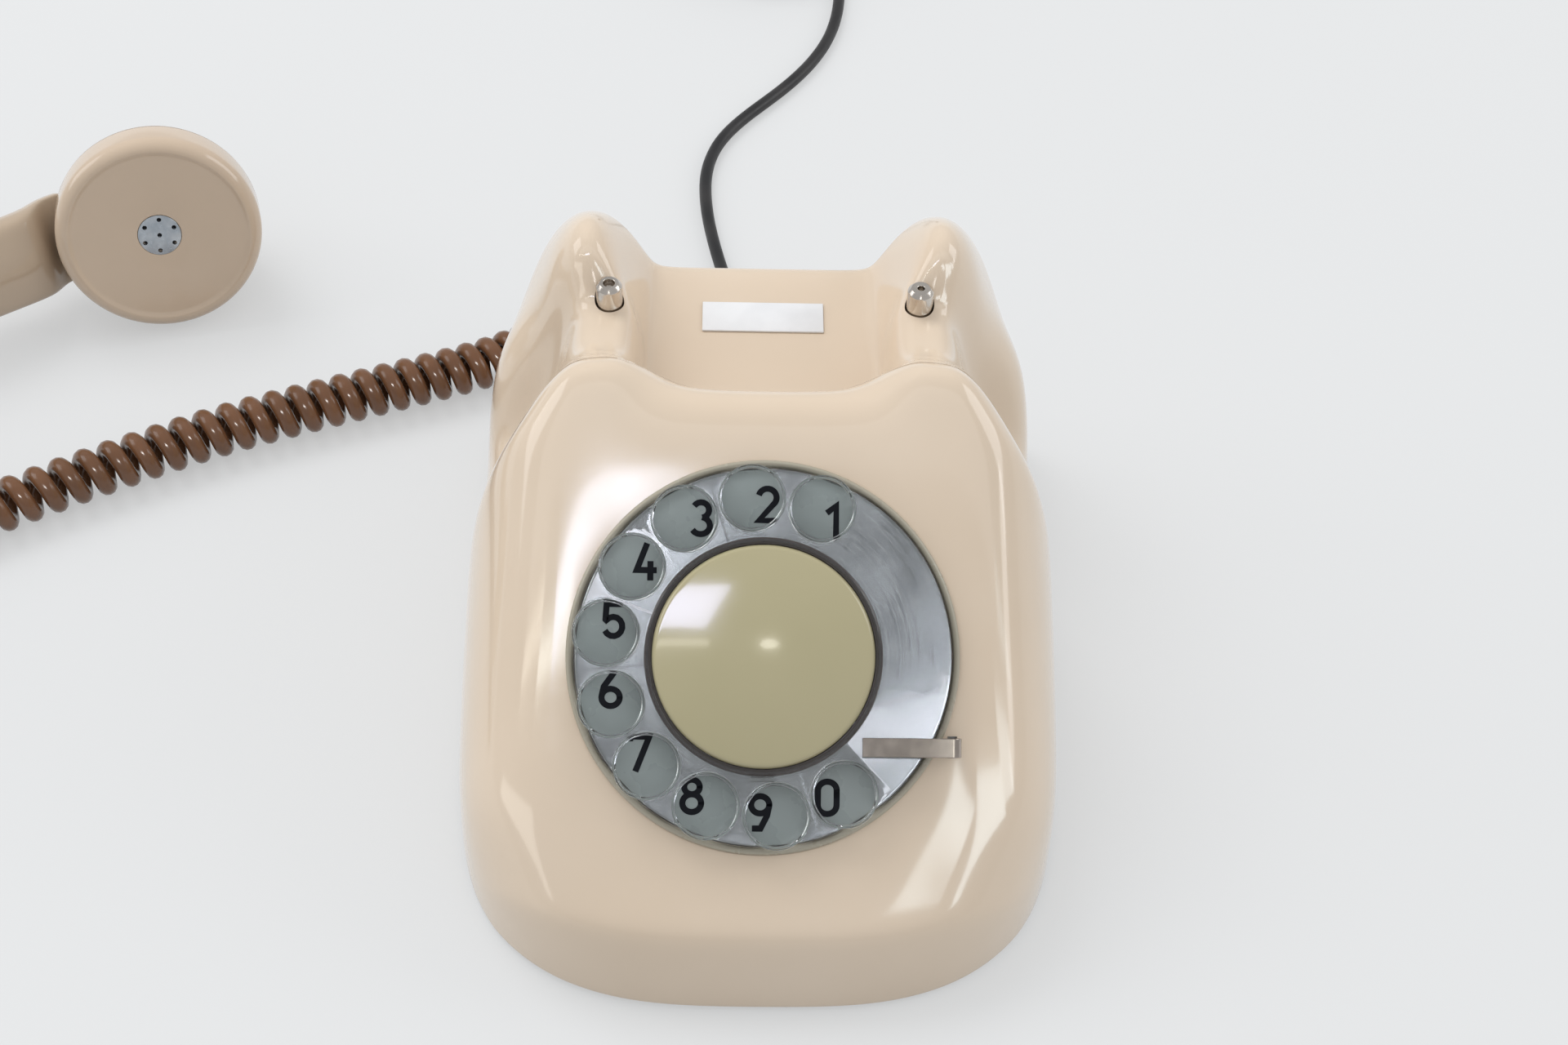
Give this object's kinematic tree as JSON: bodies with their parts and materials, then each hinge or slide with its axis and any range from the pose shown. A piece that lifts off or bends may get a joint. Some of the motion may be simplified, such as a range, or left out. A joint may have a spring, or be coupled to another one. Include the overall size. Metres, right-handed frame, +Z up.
{
  "type": "rotary desk telephone",
  "caption": "Rotary desk telephone with a sloping moulded body, clear finger wheel, sprung cradle plungers, and a free handset on a curly cord beside it.",
  "frame": {"origin": "on the desk, under the middle of the telephone body", "axes": "+X to the user's right, +Y away from the user, +Z up"},
  "size_m": [0.4243, 0.4775, 0.0933],
  "materials": {
    "shell": "glossy moulded beige plastic",
    "steel": "zinc-plated pressed steel",
    "rubber": "black rubber",
    "label": "blank white paper label",
    "ring_plastic": "olive grey moulded ring",
    "number_grey": "pale grey-green plate with plain black numbers",
    "nickel": "bright nickel plate",
    "bronze": "phosphor bronze spring strip",
    "brass": "machined brass",
    "clear": "clear moulded acrylic",
    "foil": "metallised back face of the wheel",
    "hub_brown": "dark purple-brown plastic",
    "cap_plastic": "glossy olive-cream plastic",
    "black_plastic": "black phenolic plastic",
    "copper": "enamelled copper wire windings",
    "board": "brown paper laminate",
    "aluminium": "plain aluminium can",
    "cord_black": "black flexible cord",
    "cord_brown": "brown flexible plastic cord",
    "grille_metal": "silver-blue perforated disc"
  },
  "bodies": {
    "body": {"base_plate": "steel", "rubber_feet": "rubber", "base_screws": "steel", "front_cover": "shell", "rear_cover": "shell", "label_plate": "label", "dial_ring": "ring_plastic", "number_plate": "number_grey", "dial_frame": "steel", "dial_pillars": "brass", "finger_stop": "nickel", "pulse_contacts": "bronze", "plunger_guides": "black_plastic", "hook_bracket": "steel", "hook_contacts": "bronze", "ringer_yoke": "steel", "ringer_coils": "copper", "gong_posts": "steel", "gong_left": "nickel", "gong_right": "nickel", "circuit_board": "board", "speech_transformer": "steel", "capacitor": "aluminium", "terminal_block": "black_plastic", "line_cord_relief": "cord_black", "handset_cord_relief": "cord_brown", "line_cord": "cord_black", "line_cord_coil": "cord_black", "line_plug": "black_plastic", "line_plug_pins": "brass", "curly_cord": "cord_brown"},
    "dial": {"finger_wheel": "clear", "wheel_backing": "foil", "hub_ring": "hub_brown", "centre_cap": "cap_plastic", "cap_latch": "clear", "dial_spindle": "steel", "main_gear": "brass", "pulse_cam": "bronze"},
    "idler": {"worm_wheel": "brass"},
    "governor_shaft": {"governor": "brass"},
    "left_plunger": {"plunger_left": "nickel"},
    "right_plunger": {"plunger_right": "nickel"},
    "bail": {"hook_bail": "nickel"},
    "clapper_arm": {"clapper": "brass"},
    "handset": {"handset_shell": "shell", "ear_cap": "shell", "mouth_cap": "shell", "ear_grille": "grille_metal", "mouth_grille": "grille_metal", "receiver_capsule": "aluminium", "transmitter_capsule": "aluminium", "handset_end_relief": "cord_brown"}
  },
  "joints": [
    {"name": "dial_turn", "type": "hinge", "parent": "body", "child": "dial", "pos_m": [0, -0.038, 0.058], "axis": [0, -0.6018, 0.7986], "range_deg": [-320, 0], "stiffness_Nm_per_rad": 0.012, "springref_deg": 34.38},
    {"name": "idler_turn", "type": "hinge", "parent": "body", "child": "idler", "pos_m": [-0.017, -0.02434, 0.06829], "axis": [0, -0.6018, 0.7986], "range_deg": [0, 1290]},
    {"name": "governor_turn", "type": "hinge", "parent": "body", "child": "governor_shaft", "pos_m": [-0.0266, -0.01562, 0.05671], "axis": [0, 0.7986, 0.6018], "range_deg": [0, 3860]},
    {"name": "plunger_left_slide", "type": "slide", "parent": "body", "child": "left_plunger", "axis": [0, 0, 1], "range_m": [-0.006, 0], "stiffness_N_per_m": 250, "springref_m": 0.002},
    {"name": "plunger_right_slide", "type": "slide", "parent": "body", "child": "right_plunger", "axis": [0, 0, 1], "range_m": [-0.006, 0]},
    {"name": "bail_turn", "type": "hinge", "parent": "body", "child": "bail", "pos_m": [0, 0.071, 0.05], "axis": [1, 0, 0], "range_deg": [0, 16]},
    {"name": "clapper_swing", "type": "hinge", "parent": "body", "child": "clapper_arm", "pos_m": [0, 0.022, 0.017], "axis": [0, 0, 1], "range_deg": [-6.5, 6.5], "stiffness_Nm_per_rad": 0.002},
    {"name": "handset_lift", "type": "slide", "parent": "body", "child": "handset", "axis": [0, 0, 1], "range_m": [0, 0.15]}
  ],
  "couplings": [
    {"joint": "idler_turn", "follows": "dial_turn", "ratio": -4},
    {"joint": "governor_turn", "follows": "dial_turn", "ratio": -12},
    {"joint": "plunger_right_slide", "follows": "plunger_left_slide", "ratio": 1},
    {"joint": "bail_turn", "follows": "plunger_left_slide", "rad_per_m": -46}
  ]
}
